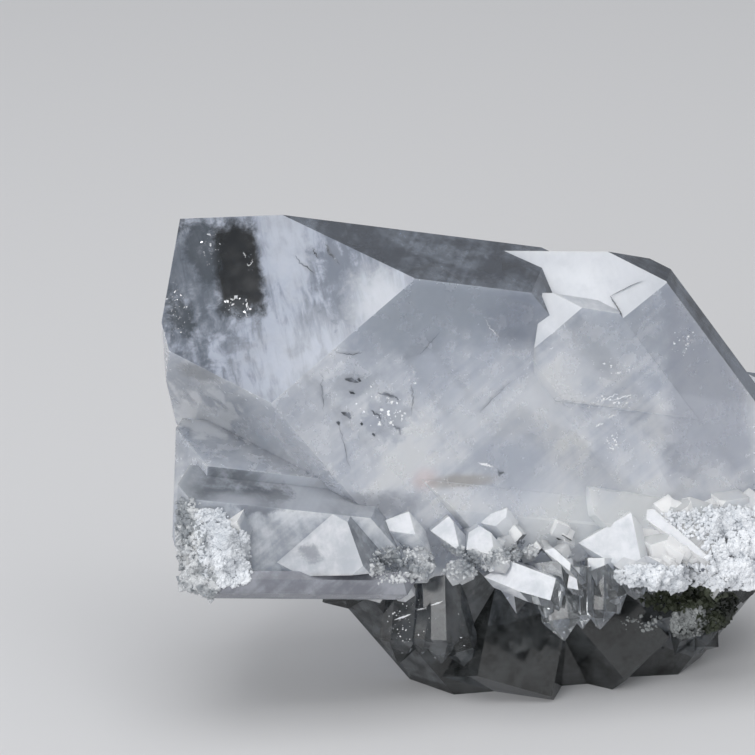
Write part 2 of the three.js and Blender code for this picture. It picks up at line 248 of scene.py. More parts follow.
# A soft-edged patch: 1 inside the ellipsoid of that size round Centre, or its box when Square, its edge pulled about
# by Ragged
patchGroup, given, made = newGroup(
    "soft_patch",
    [("Plate", "NodeSocketVector", None), ("Centre", "NodeSocketVector", None), ("Size", "NodeSocketVector", None),
     ("Ragged", "NodeSocketFloat", 0.5), ("Pull", "NodeSocketFloat", 1.0), ("Edge", "NodeSocketFloat", 0.4),
     ("Square", "NodeSocketFloat", 0.0)],
    [("Mask", "NodeSocketFloat")],
)
offset = addNode(patchGroup, "ShaderNodeVectorMath", operation="SUBTRACT")
feed(patchGroup, offset, 0, given.outputs["Plate"])
feed(patchGroup, offset, 1, given.outputs["Centre"])
scaled = addNode(patchGroup, "ShaderNodeVectorMath", operation="DIVIDE")
feed(patchGroup, scaled, 0, offset.outputs[0])
feed(patchGroup, scaled, 1, given.outputs["Size"])
length = addNode(patchGroup, "ShaderNodeVectorMath", operation="LENGTH")
feed(patchGroup, length, 0, scaled.outputs[0])
parts = addNode(patchGroup, "ShaderNodeSeparateXYZ")
feed(patchGroup, parts, 0, scaled.outputs[0])
wide = [calc(patchGroup, "ABSOLUTE", parts.outputs[index]) for index in range(3)]
widest = calc(patchGroup, "MAXIMUM", calc(patchGroup, "MAXIMUM", wide[0], wide[1]), wide[2])
reach = calc(patchGroup, "MULTIPLY_ADD", calc(patchGroup, "SUBTRACT", widest, length.outputs["Value"]),
             given.outputs["Square"], length.outputs["Value"])
pulled = calc(patchGroup, "MULTIPLY_ADD", calc(patchGroup, "SUBTRACT", given.outputs["Ragged"], 0.5),
              given.outputs["Pull"], reach)
patchGroup.links.new(
    spread(patchGroup, pulled, calc(patchGroup, "ADD", 1.0, given.outputs["Edge"]),
           calc(patchGroup, "SUBTRACT", 1.0, given.outputs["Edge"])),
    made.inputs["Mask"])


quartzShader = {
    "ior": 1.544,
    "polishRoughness": 0.05,
    "haze": (0.3, 0.7),  # the haze runs from clear to milky between these
    "uneven": (0.6, 1.5),  # times the roughness, from smooth to ragged places
    "bumpDistance": 0.05,  # millimetres
    "tint": (0.78, 0.84, 0.9),
}


def quartzMaterial(name, clear, milky, clouds, mottle, streaks, lines, transmission, roughness, bump=0.15,
                   absorb=0, glow=0.0, polish=0.0, patches=()):
    # one look of the quartz: its colour runs from clear to milky with the haze inside, then each patch is laid over
    material = bpy.data.materials.new(name)
    material.use_nodes = True
    tree = material.node_tree
    shader = tree.nodes["Principled BSDF"]
    coordinates = addNode(tree, "ShaderNodeTexCoord").outputs["Object"]
    originShift = tuple(-value * mm for value in plate["origin"])
    moved = mapped(tree, coordinates, location=originShift)
    inPlate = mapped(tree, moved, rotation=(math.radians(plate["lean"] - 90), 0, 0))
    seen = placeGroup(tree, inside, Plate=inPlate, Clouds=clouds, Mottle=mottle, Streaks=streaks, Lines=lines)
    colour = mixColour(tree, spread(tree, seen.outputs["Haze"], *quartzShader["haze"]), clear, milky)
    for patch in patches:
        laid = placeGroup(tree, patchGroup, Plate=inPlate, Ragged=seen.outputs["Ragged"],
                          Centre=tuple(value * mm for value in patch["at"]),
                          Size=tuple(value * mm for value in patch["size"]),
                          Pull=patch.get("pull", 1.5), Edge=patch.get("edge", 0.35),
                          Square=patch.get("square", 0.0))
        factor = calc(tree, "MULTIPLY", laid.outputs["Mask"], patch.get("strength", 1.0))
        colour = mixColour(tree, factor, colour, patch["colour"])
    feed(tree, shader, "Base Color", colour)
    smooth, ragged = (roughness * share for share in quartzShader["uneven"])
    feed(tree, shader, "Roughness", spread(tree, seen.outputs["Ragged"], 0.3, 0.7, smooth, ragged))
    shader.inputs["IOR"].default_value = quartzShader["ior"]
    shader.inputs["Transmission Weight"].default_value = transmission
    shader.inputs["Coat Weight"].default_value = polish
    shader.inputs["Coat Roughness"].default_value = quartzShader["polishRoughness"]
    shader.inputs["Subsurface Weight"].default_value = 1.0 if glow else 0.0
    shader.inputs["Subsurface Radius"].default_value = (1.0, 1.0, 1.0)
    shader.inputs["Subsurface Scale"].default_value = glow * mm
    bumps = addNode(tree, "ShaderNodeBump")
    bumps.inputs["Strength"].default_value = bump
    bumps.inputs["Distance"].default_value = quartzShader["bumpDistance"] * mm
    feed(tree, bumps, "Height", seen.outputs["Height"])
    feed(tree, shader, "Normal", bumps.outputs[0])
    if absorb:
        volume = addNode(tree, "ShaderNodeVolumeAbsorption")
        volume.inputs["Color"].default_value = (*quartzShader["tint"], 1)
        volume.inputs["Density"].default_value = absorb
        tree.links.new(volume.outputs[0], tree.nodes["Material Output"].inputs["Volume"])
    return material


# The cluster

cluster = {
    "merge": 1e-6,  # metres
    "flat": 0.4,  # degrees, under which neighbouring triangles are one face
    "ledgeHead": -11.5,  # the ledge lies between these heights in the plate, in millimetres
    "ledgeFoot": -24.6,
    "ledgeBack": -3,
    "druseFace": 3.5,  # faces of the ledge under so many square millimetres are druse
    "druseLeft": -15.5,  # when they are left of this
    "druseRight": 28,  # or right of this
}

plateMilk = quartzMaterial(
    "plate_milk", clear=(0.57, 0.61, 0.69), milky=(0.88, 0.90, 0.94),
    clouds=1.4, mottle=0.35, streaks=0.15, lines=0.35, transmission=0.42, roughness=0.22, bump=0.07, glow=3.0,
    polish=1.0, absorb=6, patches=(
        {"at": (4, 8, 0), "size": (22, 4.5, 4), "colour": (0.34, 0.38, 0.46), "strength": 0.75, "edge": 0.8},
        {"at": (1.3, -4.4, 0), "size": (2.4, 2.4, 2), "colour": (0.44, 0.48, 0.56), "strength": 0.55, "pull": 4},
        {"at": (10, 8.5, 0), "size": (9, 4, 4), "colour": (0.34, 0.38, 0.44), "strength": 0.7, "edge": 0.7},
        {"at": (16.2, 5.5, 0), "size": (3.0, 3.0, 4), "colour": (0.24, 0.27, 0.34), "strength": 0.7, "edge": 0.7},
        {"at": (2, 6.5, 0), "size": (3.4, 4, 4), "colour": (0.40, 0.44, 0.50), "strength": 0.6, "edge": 0.7},
        {"at": (-2.5, -0.5, 0), "size": (2.4, 1.3, 2), "colour": (0.40, 0.43, 0.48), "strength": 0.5, "pull": 3},
        {"at": (37.5, -1, 0), "size": (4.8, 12, 6), "colour": (0.44, 0.47, 0.55), "strength": 0.7, "pull": 0.6,
         "edge": 0.25, "square": 1.0},
        {"at": (26, 3, 0), "size": (5, 4, 4), "colour": (0.46, 0.50, 0.57), "strength": 0.6, "edge": 0.7},
        {"at": (-17, -3, -9), "size": (8, 6, 8), "colour": (0.24, 0.27, 0.32), "strength": 0.65, "edge": 0.7},
        {"at": (-9, -4, -3), "size": (4, 9, 6), "colour": (0.52, 0.55, 0.61), "strength": 0.6, "edge": 0.8},
        {"at": (-18.6, 0.9, -6.8), "size": (2.8, 1.1, 4), "colour": (0.16, 0.18, 0.21), "strength": 0.7, "pull": 1},
        {"at": (-18.2, -4.2, -11), "size": (2.8, 2.6, 6), "colour": (0.90, 0.92, 0.95), "strength": 0.6, "pull": 5},
        # a dark strip along the left crystal's lower edge: painted shade of the step under it
        {"at": (-2.5, -14.2, 0), "size": (6, 1.4, 4), "colour": (0.32, 0.34, 0.39), "strength": 0.8, "edge": 0.5},
        {"at": (21, -17.0, 1.5), "size": (10, 3.6, 5), "colour": (0.88, 0.91, 0.97), "strength": 0.85, "edge": 0.7},
        {"at": (4.9, -11.8, 0), "size": (1.3, 1.1, 2), "colour": (0.95, 0.72, 0.68), "strength": 0.4, "edge": 0.8},
        {"at": (8.9, -12.2, 0), "size": (3.6, 0.7, 2), "colour": (0.42, 0.38, 0.33), "strength": 0.6, "edge": 0.6},
        {"at": (14, -4.5, 0), "size": (9, 3.0, 4), "colour": (0.80, 0.83, 0.88), "strength": 0.5, "edge": 0.7},
    ))
pointMilk = quartzMaterial(
    "point_milk", clear=(0.26, 0.29, 0.35), milky=(0.59, 0.63, 0.72),
    clouds=1.0, mottle=0.8, streaks=1.0, lines=0.0, transmission=0.38, roughness=0.16, glow=0.5, polish=0.3,
    absorb=6, patches=(
        {"at": (-19.5, 11.5, -12), "size": (5.5, 9, 12), "colour": (0.14, 0.16, 0.19), "strength": 0.8, "pull": 4.0,
         "edge": 0.7},
        {"at": (-24.8, 12, -16), "size": (1.9, 9, 12), "colour": (0.56, 0.59, 0.62), "strength": 0.7, "pull": 1.5},
        {"at": (-17, 18.3, -14), "size": (8, 0.8, 9), "colour": (0.45, 0.48, 0.54), "strength": 0.7, "pull": 2.5},
        {"at": (-8.3, 15.5, -8), "size": (2.6, 6, 9), "colour": (0.70, 0.73, 0.80), "strength": 0.7, "pull": 2.5},
        {"at": (-5.5, 1, 0), "size": (7, 6, 9), "colour": (0.86, 0.88, 0.93), "strength": 0.5, "pull": 2.5,
         "edge": 0.7},
        {"at": (-3.2, 10.6, -3), "size": (2.2, 3.4, 9), "colour": (0.26, 0.29, 0.35), "strength": 0.7, "pull": 4.5},
        {"at": (1.0, 8.0, -3), "size": (3.2, 3.6, 9), "colour": (0.88, 0.90, 0.94), "strength": 0.8, "pull": 2,
         "edge": 0.6},
        # a clear window, painted near black: painted shade for the dark seen through it
        {"at": (-13.7, 11.8, -9), "size": (2.4, 4.8, 9), "colour": (0.006, 0.008, 0.010), "strength": 1.0,
         "pull": 0.8, "edge": 0.2, "square": 0.85},
        {"at": (-17.4, 13.6, -13), "size": (1.5, 2.8, 9), "colour": (0.05, 0.06, 0.07), "strength": 0.6, "pull": 3},
        {"at": (-20.5, 7.2, -10), "size": (1.3, 2.3, 9), "colour": (0.04, 0.05, 0.055), "strength": 0.6, "pull": 3.5},
        {"at": (-14.2, 7.9, -8), "size": (1.9, 0.9, 9), "colour": (0.08, 0.09, 0.10), "strength": 0.5, "pull": 3},
        {"at": (-20.4, 17.3, -15), "size": (2.0, 1.8, 9), "colour": (0.03, 0.035, 0.04), "strength": 0.8, "pull": 2.5},
        {"at": (-24.3, 4.8, -12), "size": (1.4, 2.4, 9), "colour": (0.05, 0.055, 0.06), "strength": 0.7, "pull": 4},
    ))
# A lighter copy of the point's look for the small point faces turned to the light: painted light, with a whiter patch
# of painted highlight
brightPointPaintedLight = quartzMaterial(
    "bright_point_painted_light", clear=(0.50, 0.53, 0.58), milky=(0.76, 0.78, 0.82),
    clouds=0.6, mottle=0.8, streaks=0.2, lines=0.1, transmission=0.25, roughness=0.07, glow=1.0, patches=(
        {"at": (25, 9.5, -2.5), "size": (8, 5, 8), "colour": (0.86, 0.88, 0.92), "strength": 0.55, "pull": 4,
         "edge": 0.6},
    ))
# A lighter copy, mostly for the ledge's point faces turned to the light: painted light
palePointPaintedLight = quartzMaterial(
    "pale_point_painted_light", clear=(0.62, 0.65, 0.70), milky=(0.90, 0.91, 0.94),
    clouds=0.8, mottle=0.8, streaks=0.3, lines=0.1, transmission=0.35, roughness=0.12, glow=1.5, patches=(
        {"at": (-8.6, -18.2, 2), "size": (1.2, 0.9, 4), "colour": (0.3, 0.32, 0.36), "strength": 0.6, "pull": 3},
    ))
# The top faces: clear quartz in a dark colour, painted shade for faces turned from the light
clearTopPaintedShade = quartzMaterial(
    "clear_top_painted_shade", clear=(0.085, 0.095, 0.115), milky=(0.27, 0.30, 0.35),
    clouds=1.4, mottle=0.7, streaks=0.3, lines=0.4, transmission=0.5, roughness=0.08, absorb=6)
# The ledge's upper faces: a darker copy of the ledge's look, painted shade, with lighter patches
ledgeTopPaintedShade = quartzMaterial(
    "ledge_top_painted_shade", clear=(0.20, 0.22, 0.25), milky=(0.50, 0.53, 0.58),
    clouds=1.4, mottle=1.0, streaks=0.1, lines=0.3, transmission=0.35, roughness=0.16, glow=1.5, polish=0.5,
    absorb=6, patches=(
        {"at": (-7, -10, 0), "size": (5.5, 5, 5), "colour": (0.66, 0.69, 0.75), "strength": 0.85, "edge": 0.6},
        {"at": (-22.5, -9, -4), "size": (2.2, 6, 9), "colour": (0.55, 0.58, 0.62), "strength": 0.8, "edge": 0.7},
        # a dark patch along the left crystal's lower edge: painted shade of the step under it
        {"at": (-13.2, -12, 1), "size": (2.6, 1.2, 3), "colour": (0.10, 0.11, 0.13), "strength": 0.7, "pull": 3},
        {"at": (-17.5, -12.6, 1.5), "size": (5, 0.9, 2), "colour": (0.66, 0.69, 0.75), "strength": 0.7, "edge": 0.7},
    ))
ledgeClear = quartzMaterial(
    "ledge_clear", clear=(0.50, 0.53, 0.58), milky=(0.90, 0.92, 0.95),
    clouds=1.2, mottle=0.8, streaks=0.2, lines=0.3, transmission=0.35, roughness=0.14, glow=2.0, polish=0.6,
    absorb=6, patches=(
        {"at": (20, -17.5, 2), "size": (9, 3.6, 6), "colour": (0.90, 0.93, 0.98), "strength": 0.9, "edge": 0.5},
        {"at": (34, -19, 3), "size": (9, 5, 6), "colour": (0.90, 0.93, 0.98), "strength": 0.9, "edge": 0.5},
        # a dark patch below the left crystal's lower edge: painted shade of the step under it
        {"at": (-12.5, -13, 2), "size": (3.6, 0.9, 3), "colour": (0.22, 0.24, 0.28), "strength": 0.7, "pull": 3},
    ))
hangClear = quartzMaterial(
    "hang_clear", clear=(0.34, 0.36, 0.38), milky=(0.80, 0.83, 0.85),
    clouds=0.8, mottle=1.4, streaks=0.0, lines=0.3, transmission=0.9, roughness=0.02)
# The underside: a dark copy of the quartz, painted shade for the shadow under the ledge
darkBelowPaintedShade = quartzMaterial(
    "dark_below_painted_shade", clear=(0.022, 0.024, 0.024), milky=(0.13, 0.14, 0.145),
    clouds=1.0, mottle=1.2, streaks=0.1, lines=0.2, transmission=0.7, roughness=0.12)
sugarWhite = quartzMaterial(
    "sugar_white", clear=(0.90, 0.92, 0.94), milky=(0.97, 0.975, 0.98),
    clouds=0.5, mottle=1.0, streaks=0.0, lines=0.0, transmission=0.1, roughness=0.12, bump=0.4, glow=2.5)
stripClear = quartzMaterial(
    "strip_clear", clear=(0.30, 0.31, 0.36), milky=(0.56, 0.58, 0.64),
    clouds=0.8, mottle=0.8, streaks=0.1, lines=0.4, transmission=0.5, roughness=0.08, polish=1.0)
looks = (plateMilk, pointMilk, brightPointPaintedLight, palePointPaintedLight, clearTopPaintedShade, ledgeTopPaintedShade, ledgeClear, hangClear, darkBelowPaintedShade,
         sugarWhite, stripClear)
slotOf = {material.name: index for index, material in enumerate(looks)}

body = bmesh.new()
body.from_mesh(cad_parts["quartz_cluster"].data)
bmesh.ops.remove_doubles(body, verts=body.verts, dist=cluster["merge"])
bmesh.ops.dissolve_limit(body, angle_limit=math.radians(cluster["flat"]), verts=body.verts, edges=body.edges)
body.normal_update()


def facing(normals, way, degrees):
    return normals @ np.asarray(way, float) > math.cos(math.radians(degrees))


centres = frameToPlate([list(face.calc_center_median()) for face in body.faces])
normals = np.array([list(face.normal) for face in body.faces]) @ plateAxes.T
areas = np.array([face.calc_area() for face in body.faces]) / mm**2
x, y, z = centres.T

# A face's finish goes by its direction, the place of its middle in the plate and its area in square millimetres
# By direction, lighter finishes paint light on the point faces turned to the light and darker ones paint shade on the
# tops and the underside
slots = np.full(len(areas), slotOf["plate_milk"])
pointFront = facing(normals, pointFaces[0], 13)
notPoint = ~facing(normals, pointFaces[0], 3)
ledge = (y < cluster["ledgeHead"]) & (y > cluster["ledgeFoot"]) & (z > cluster["ledgeBack"])
slots[ledge & ~((x > 4) & facing(normals, sideFaces[0], 30) & (areas > 10))] = slotOf["ledge_clear"]
# the point faces turned to the light get lighter looks, painted light; the large point face keeps the milky look
slots[pointFront & (areas > 1.2)] = slotOf["bright_point_painted_light"]
slots[pointFront & (areas > 150) & (x < 8)] = slotOf["point_milk"]
slots[pointFront & (areas > 12) & (x < -4) & (y < -12)] = slotOf["pale_point_painted_light"]
# the faces along the top, then those of the ledge's upper side, in dark looks: painted shade on faces turned from the
# light
tops = facing(normals, pointFaces[1], 10) | facing(normals, sideFaces[1], 8)
slots[tops & (y > -9)] = slotOf["clear_top_painted_shade"]
slots[tops & (y <= -6) & (x < 3) & (areas > 6)] = slotOf["ledge_top_painted_shade"]
slots[tops & (y < -6) & (x < -5) & (z < -2.6)] = slotOf["plate_milk"]
# front faces set back under the left crystal's step get the dark ledge look too: painted shade
slots[facing(normals, sideFaces[0], 5) & (x < -5) & (y < -8) & (y > -13) & (z < -1)] = slotOf["ledge_top_painted_shade"]
# the narrow face under the large right crystal's bright facet
slots[tops & (x > 23) & (x < 26) & (y > 6) & (y < 8) & (z > -2.5)] = slotOf["pale_point_painted_light"]
# druse: at the middle of the ledge, and at both of its ends
small = ledge & (areas < cluster["druseFace"]) & notPoint
slots[small & (x > 17) & (x < 23) & (y > -19) & (y < -16.5) & (normals[:, 2] < 0.9)] = slotOf["sugar_white"]
slots[small & ((x < cluster["druseLeft"]) | (x > cluster["druseRight"]))] = slotOf["sugar_white"]
slots[(y < -19.6) & (x > -20.5) & (x < 2.3) & (z > 3.2) & (areas > 3)] = slotOf["strip_clear"]
# the underside gets the dark look: painted shade
under = (y < cluster["ledgeFoot"]) | ((normals[:, 1] < -0.6) & (y < -18) & (z < 3))
slots[under] = slotOf["dark_below_painted_shade"]
slots[(y < -22.5) & (z > 1.6) & (x > 13) & (x < 29) & ~pointFront] = slotOf["hang_clear"]

for face, slot in zip(body.faces, slots):
    face.material_index = int(slot)
    face.smooth = False
mesh = bpy.data.meshes.new("quartz")
body.to_mesh(mesh)
body.free()
for material in looks:
    mesh.materials.append(material)
quartz = bpy.data.objects.new("quartz", mesh)
scene.collection.objects.link(quartz)
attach(quartz, "root")
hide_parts("quartz_cluster")
print("cluster", len(mesh.polygons), "faces")

# Small crystals, flakes and cracks, with painted glints


def addPiece(name, verts, faces, material):
    # points in metres in the frame, kept inside the model's box
    verts = np.clip(verts, np.array(cadBox[0]) + 1e-6, np.array(cadBox[1]) - 1e-6)
    made = bpy.data.meshes.new(name)
    made.from_pydata(verts.tolist(), [], faces)
    made.materials.append(material)
    made.validate()
    piece = bpy.data.objects.new(name, made)
    scene.collection.objects.link(piece)
    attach(piece, "root")
    print(name, len(made.polygons), "faces")


skin = BVHTree.FromPolygons(
    [list(spot.co) for spot in mesh.vertices], [list(face.vertices) for face in mesh.polygons])
search = {
    "tries": 3,  # rays for each place wanted
    "start": 40,  # millimetres in front of the box that the rays start
    "tilt": 0.5,  # how far the rays lean
    "round": 3,  # 2 is an oval bed, more is squarer
    "thin": (0.55, 1.15),  # the bed thins out between these, 1 being its edge
}


def scatter(chance, count, low, high, facingWay=None, within=80, bare=False):
    # places on the skin found by rays from in front of a box in the plate, with the skin's direction there. Each is
    # kept when out < a chance number, where out = |x|^round + |y|^round in the box's own half sizes, which thins
    # the bed towards its edge; bare keeps them off the bright point faces
    low, high = np.array(low, float), np.array(high, float)
    aims = low + (high - low) * chance.random((count * search["tries"], 3))
    backs = np.array([0, 0, 1]) + chance.normal(0, search["tilt"], aims.shape)
    backs /= np.linalg.norm(backs, axis=1)[:, None]
    backs[:, 2] = np.abs(backs[:, 2])
    starts = plateToFrame(aims + backs * search["start"])
    places, ways = [], []
    for start, aim in zip(starts, -backs @ plateAxes):
        found, normal = skin.ray_cast(Vector(start), Vector(aim))[:2]
        if found is not None:
            places.append(list(found))
            ways.append(list(normal))
    places, ways = frameToPlate(places), np.array(ways) @ plateAxes.T
    good = np.all((places > low) & (places < high), axis=1)
    out = (np.abs((places - (low + high) / 2) / (high - low) * 2) ** search["round"])[:, :2].sum(axis=1)
    good &= out < chance.uniform(*search["thin"], len(out))
    if bare:
        good &= ~facing(ways, pointFaces[0], 3)
    if facingWay is not None:
        good &= facing(ways, facingWay, within)
    return places[good][:count], ways[good][:count]


def turned(chance, ways, wander):
    # one turn for each place: local z points along the way, tilted by about wander, and turned about itself
    z = ways + chance.normal(0, wander, ways.shape)
    z /= np.linalg.norm(z, axis=1)[:, None]
    side = np.cross(z, chance.normal(0, 1, z.shape))
    side /= np.linalg.norm(side, axis=1)[:, None]
    return np.stack([side, np.cross(z, side), z], axis=1)


def crystalShape():
    # a six-sided prism of radius 1 from -1.2 to 0.5 with a six-faced point above it
    ring = np.radians(np.arange(6) * 60)
    circle = np.column_stack([np.cos(ring), np.sin(ring)])
    low = np.column_stack([circle, np.full(6, -1.2)])
    high = np.column_stack([circle, np.full(6, 0.5)])
    verts = np.vstack([low, high, [[0.0, 0.0, 1.7]]])
    faces = [[k, (k + 1) % 6, 6 + (k + 1) % 6, 6 + k] for k in range(6)]
    faces += [[6 + k, 6 + (k + 1) % 6, 12] for k in range(6)] + [[5, 4, 3, 2, 1, 0]]
    return verts, faces


def blockShape():
    # a leaning block: the corners of a cube pulled along its diagonal
    corner = np.array([[i, j, k] for i in (-1, 1) for j in (-1, 1) for k in (-1, 1)], float)
    corner += corner.sum(axis=1, keepdims=True) * 0.08
    faces = [[0, 1, 3, 2], [4, 6, 7, 5], [0, 4, 5, 1], [2, 3, 7, 6], [0, 2, 6, 4], [1, 5, 7, 3]]
    return corner, faces


def sown(name, material, shape, seed, beds, lift=0.2, wander=0.6):
    # the same small shape at every place of the beds, each with its own size and turn, lifted off the skin:
    # p = place + direction * size * lift + turn * shape * size
    chance = np.random.default_rng(seed)
    verts, faces = shape()
    allVerts, allFaces = [], []
    start = 0
    for bed in beds:
        places, ways = scatter(chance, bed["count"], bed["low"], bed["high"], bed.get("facing"),
                               bed.get("within", 80), bed.get("bare", False))
        least, most = bed["size"]
        size = least * (most / least) ** chance.random(len(places)) ** 2  # most are near the least
        spin = turned(chance, ways, wander)
        grains = np.einsum("vi,nij->nvj", verts, spin) * size[:, None, None]
        grains += (places + ways * (size * lift)[:, None])[:, None, :]
        allVerts.append(plateToFrame(grains.reshape(-1, 3)))
        for n in range(len(places)):
            allFaces += [[corner + start for corner in face] for face in faces]
            start += len(verts)
    addPiece(name, np.vstack(allVerts), allFaces, material)


grainWhite = quartzMaterial(
    "grain_white", clear=(0.62, 0.65, 0.69), milky=(0.86, 0.88, 0.91),
    clouds=0.8, mottle=1.2, streaks=0.0, lines=0.0, transmission=0.0, roughness=0.25, bump=0.0)
grainClear = quartzMaterial(
    "grain_clear", clear=(0.42, 0.45, 0.48), milky=(0.92, 0.94, 0.96),
    clouds=0.8, mottle=2.4, streaks=0.0, lines=0.0, transmission=0.35, roughness=0.05, bump=0.0)
grainGrey = quartzMaterial(
    "grain_grey", clear=(0.16, 0.17, 0.17), milky=(0.46, 0.48, 0.48),
    clouds=0.8, mottle=2.4, streaks=0.0, lines=0.0, transmission=0.2, roughness=0.12, bump=0.0)
leftSugar = {"seed": 5, "lift": 0.0, "wander": 0.6, "beds": (
    {"low": (-21.3, -17.4, -2), "high": (-17.4, -12.9, 6), "size": (0.1, 0.3), "count": 1300, "bare": True},
    {"low": (-21.2, -21.2, -2), "high": (-15.2, -15.0, 6), "size": (0.1, 0.3), "count": 2600, "bare": True},
)}
sown("left_sugar", grainWhite, crystalShape, **leftSugar)
cornerSparkle = {"seed": 10, "lift": 0.1, "wander": 0.8, "beds": (
    {"low": (-24.5, -22.7, -3), "high": (-19.2, -18.3, 6), "size": (0.14, 0.5), "count": 700},
    {"low": (-23.5, -19.5, -6), "high": (-20.2, -11.5, 6), "size": (0.14, 0.4), "count": 350},
    {"low": (-2.6, -22.2, 1), "high": (4.5, -18.4, 7), "size": (0.1, 0.34), "count": 260, "bare": True},
    {"low": (4.0, -22.4, 1), "high": (11.5, -18.6, 7), "size": (0.1, 0.3), "count": 240, "bare": True},
    {"low": (10, -21.0, 0), "high": (17, -19.0, 6), "size": (0.08, 0.26), "count": 160, "bare": True},
)}
sown("corner_sparkle", grainClear, crystalShape, **cornerSparkle)
rightSugar = {"seed": 6, "lift": 0.0, "wander": 0.6, "beds": (
    {"low": (35, -23.5, -2), "high": (52, -16.6, 8), "size": (0.1, 0.34), "count": 3200, "bare": True},
    {"low": (30.5, -19.6, -2), "high": (41, -16.4, 8), "size": (0.1, 0.3), "count": 500, "bare": True},
    {"low": (28.5, -25.8, 2), "high": (44, -22.2, 8), "size": (0.1, 0.34), "count": 1700, "bare": True},
    {"low": (25.0, -24.4, 2), "high": (31, -21.8, 8), "size": (0.1, 0.3), "count": 500, "bare": True},
)}
sown("right_sugar", grainWhite, crystalShape, **rightSugar)
paleLump = {"seed": 12, "lift": 0.0, "beds": (
    {"low": (33.2, -32.6, -8), "high": (37.8, -28.9, 4), "size": (0.12, 0.36), "count": 420},
    {"low": (27.5, -31.5, -8), "high": (32.5, -29.6, 4), "size": (0.06, 0.26), "count": 60},
)}
sown("pale_lump", grainGrey, crystalShape, **paleLump)

moss = quartzMaterial(
    "moss", clear=(0.008, 0.011, 0.007), milky=(0.05, 0.06, 0.035),
    clouds=0.8, mottle=1.6, streaks=0.0, lines=0.0, transmission=0.0, roughness=0.5, bump=0.5)
mossGrains = {"seed": 8, "beds": (
    {"low": (30, -29.5, -8), "high": (43.5, -25.2, 4), "size": (0.08, 0.28), "count": 1300},
    {"low": (36.5, -32.5, -8), "high": (42, -27.5, 4), "size": (0.08, 0.28), "count": 500},
)}
sown("moss_grains", moss, blockShape, **mossGrains)

# Fracture flakes in the faces: those on the point face mirror the light, those on the front are white, a painted glint
glint = quartzMaterial(
    "glint", clear=(0.80, 0.84, 0.90), milky=(0.97, 0.98, 0.99),
    clouds=0.0, mottle=2.0, streaks=0.0, lines=0.0, transmission=0.0, roughness=0.20, bump=0.0)
glint.node_tree.nodes["Principled BSDF"].inputs["Metallic"].default_value = 0.7


def flakeShape():
    # a thin five-cornered plate
    ring = np.radians(np.arange(5) * 72)
    circle = np.column_stack([np.cos(ring), np.sin(ring) * 0.7])
    verts = np.vstack([np.column_stack([circle, np.full(5, 0.06)]), np.column_stack([circle, np.full(5, -0.06)])])
    faces = [[0, 1, 2, 3, 4], [9, 8, 7, 6, 5]] + [[k, k + 5, (k + 1) % 5 + 5, (k + 1) % 5] for k in range(5)]
    return verts, faces


onFront = {"facing": sideFaces[0], "within": 8}
onPoint = {"facing": pointFaces[0], "within": 5}
pointFlakes = {"seed": 9, "lift": -0.1, "wander": 0.4, "beds": (
    {"low": (-15.8, 6.6, -14), "high": (-12.6, 9.0, 4), "size": (0.08, 0.42), "count": 46, **onPoint},
    {"low": (-17.6, 12.0, -16), "high": (-15.2, 15.8, 4), "size": (0.07, 0.38), "count": 40, **onPoint},
    {"low": (-21.6, 5.0, -16), "high": (-19.3, 9.6, 4), "size": (0.07, 0.40), "count": 46, **onPoint},
    {"low": (-13.4, 11.0, -16), "high": (-11.8, 15.4, 4), "size": (0.04, 0.2), "count": 18, **onPoint},
    {"low": (-25, 3.5, -20), "high": (-20, 18.5, 4), "size": (0.04, 0.2), "count": 120, **onPoint},
    {"low": (-24.5, -22.5, -3), "high": (-19.5, -18.8, 6), "size": (0.1, 0.3), "count": 45},
    {"low": (-4, -34, -8), "high": (10, -27, 2), "size": (0.06, 0.3), "count": 30},
    {"low": (12, -30, 0), "high": (28, -24, 6), "size": (0.05, 0.2), "count": 30},
)}
sown("point_flakes", glint, flakeShape, **pointFlakes)
crackDark = quartzMaterial(
    "crack_dark", clear=(0.05, 0.055, 0.065), milky=(0.22, 0.24, 0.28),
    clouds=0.5, mottle=1.5, streaks=0.0, lines=0.0, transmission=0.0, roughness=0.2)
# White: the pale cracks, and painted glints on the white flakes and the pale bars underneath
crackPaleAndGlint = quartzMaterial(
    "crack_pale_and_glint", clear=(0.88, 0.90, 0.93), milky=(0.97, 0.97, 0.98),
    clouds=0.5, mottle=1.5, streaks=0.0, lines=0.0, transmission=0.0, roughness=0.2)
# white flakes: fractures whose white is a painted glint, on the front, the ledge, the corner and underneath
whiteGlintFlakes = {"seed": 13, "lift": 0.15, "wander": 0.12, "beds": (
    {"low": (-0.4, -5.9, -2), "high": (3.0, -2.0, 2), "size": (0.06, 0.3), "count": 34, **onFront},
    {"low": (-2.6, -5.8, -2), "high": (0.2, -0.4, 2), "size": (0.05, 0.2), "count": 12, **onFront},
    {"low": (3.2, -1.4, -2), "high": (4.4, 0.6, 2), "size": (0.05, 0.18), "count": 6, **onFront},
    {"low": (24, -4.9, -2), "high": (28.4, -3.4, 3), "size": (0.05, 0.2), "count": 30, **onFront},
    {"low": (25, -1.2, -2), "high": (30, 0.6, 3), "size": (0.05, 0.18), "count": 24, **onFront},
    {"low": (25.3, -10.2, -2), "high": (27.3, -7.8, 2), "size": (0.04, 0.18), "count": 26, **onFront},
    {"low": (33, 0, -2), "high": (36, 3.6, 3), "size": (0.04, 0.16), "count": 30},
    {"low": (0.4, -30.8, -5), "high": (5.8, -25.6, 1), "size": (0.03, 0.14), "count": 60},
    {"low": (-2.2, -20.7, 1), "high": (2.4, -18.5, 8), "size": (0.06, 0.26), "count": 44},
    {"low": (-24.6, -22.6, -5), "high": (-19.8, -18.4, 6), "size": (0.06, 0.26), "count": 70},
)}
sown("white_glint_flakes", crackPaleAndGlint, flakeShape, **whiteGlintFlakes)
